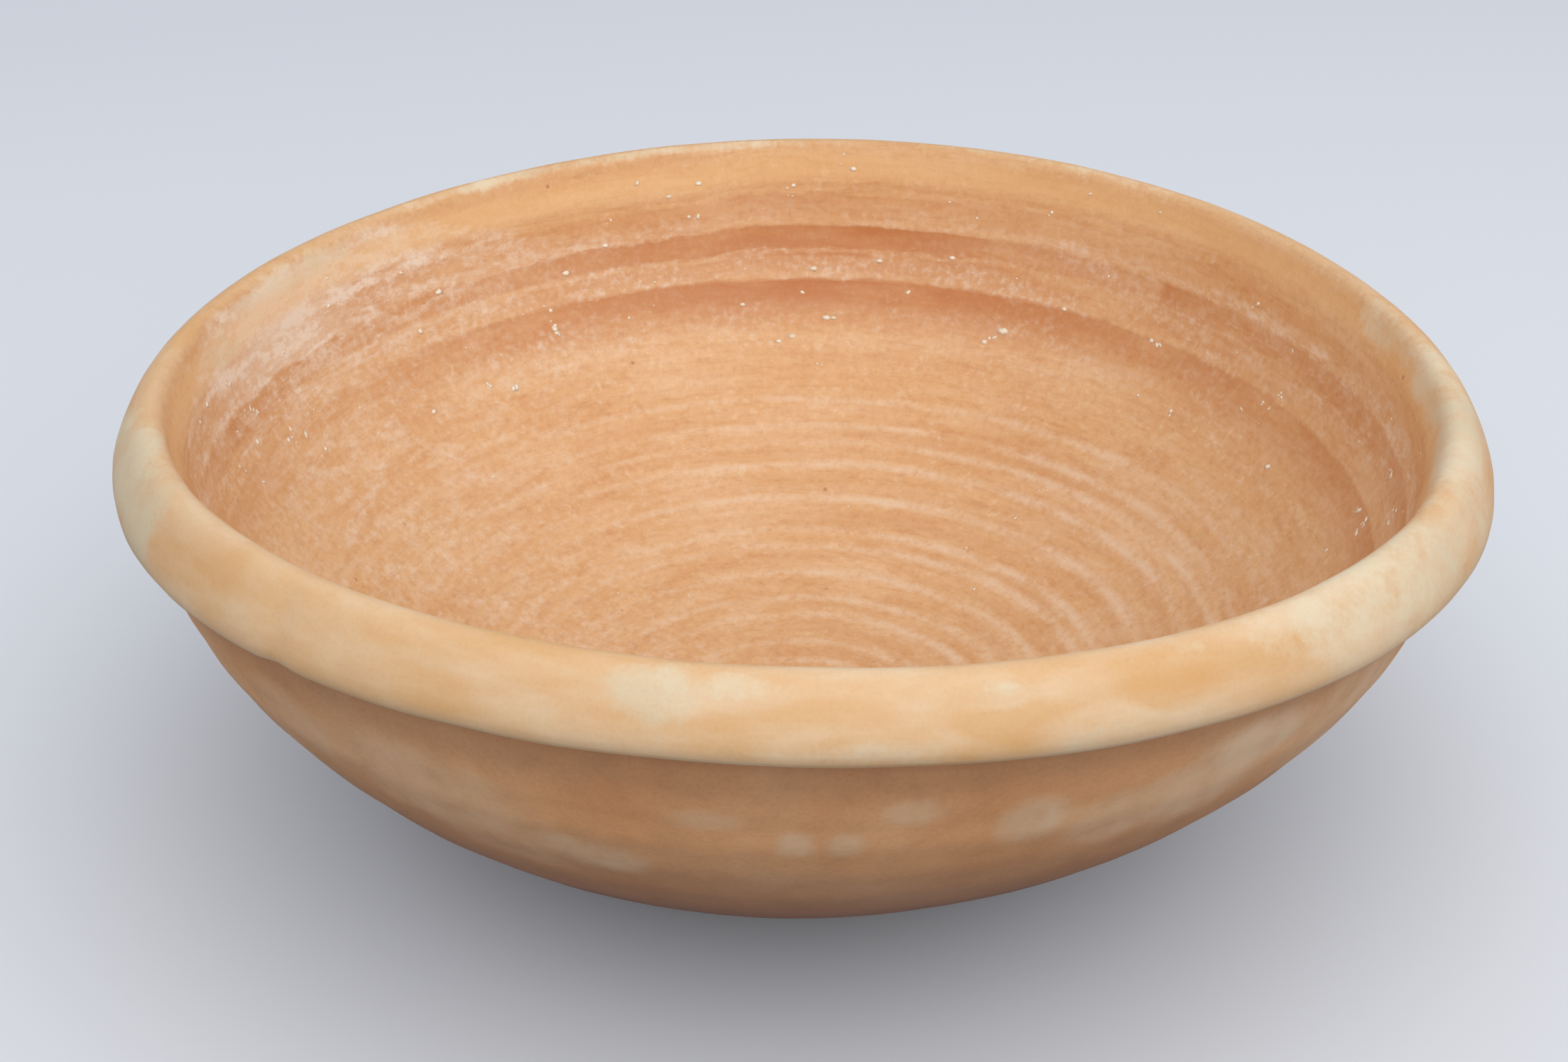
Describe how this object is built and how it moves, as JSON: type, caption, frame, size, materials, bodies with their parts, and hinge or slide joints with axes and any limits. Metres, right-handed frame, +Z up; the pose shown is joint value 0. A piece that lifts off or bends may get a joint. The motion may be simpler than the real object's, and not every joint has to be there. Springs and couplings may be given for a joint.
{
  "type": "bowl",
  "caption": "Round burnished earthenware bowl with an outward-folded rim, a curved wall and a low ring foot, for serving and holding food.",
  "frame": {"origin": "centre of the face that the foot ring rests on", "axes": "+Z up through the middle of the mouth, -Y towards the side that the picture is taken from, +X to its right"},
  "size_m": [0.1792, 0.1808, 0.0681],
  "materials": {
    "fired_clay": "matte unglazed earthenware with fine lime grits",
    "burnished_slip": "thin slip of the same clay, rubbed in rings to a low sheen"
  },
  "bodies": {
    "root": {"foot_ring": "fired_clay", "base_disc": "fired_clay", "bowl_wall": "fired_clay", "rim_fold": "fired_clay", "burnished_slip": "burnished_slip"}
  },
  "joints": []
}
